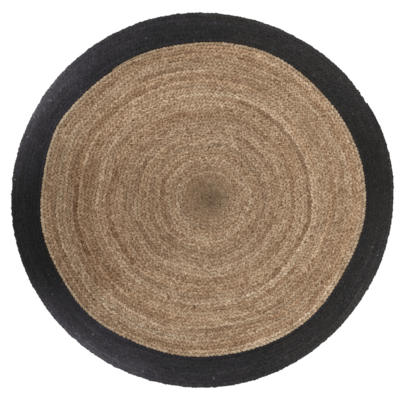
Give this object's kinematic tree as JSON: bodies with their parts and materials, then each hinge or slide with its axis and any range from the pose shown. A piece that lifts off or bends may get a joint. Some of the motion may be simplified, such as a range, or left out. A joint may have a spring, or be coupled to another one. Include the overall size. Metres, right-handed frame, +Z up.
{
  "type": "round braided jute rug",
  "caption": "Flat round rug coiled from natural jute braid, with a wide border of black braid sewn round it; lies on a floor.",
  "frame": {"origin": "middle of the rug's outline, on the surface that it lies on", "axes": "+Z up out of the rug's top face; +X to the right and +Y up the picture in the pictured straight-down view"},
  "size_m": [1.5166, 1.488, 0.01],
  "materials": {
    "natural_jute": "undyed braided jute, matt, hairy",
    "black_jute": "black-dyed braided jute, matt with a faint dry sheen"
  },
  "bodies": {
    "root": {"jute_field": "natural_jute", "black_border": "black_jute"}
  },
  "joints": []
}
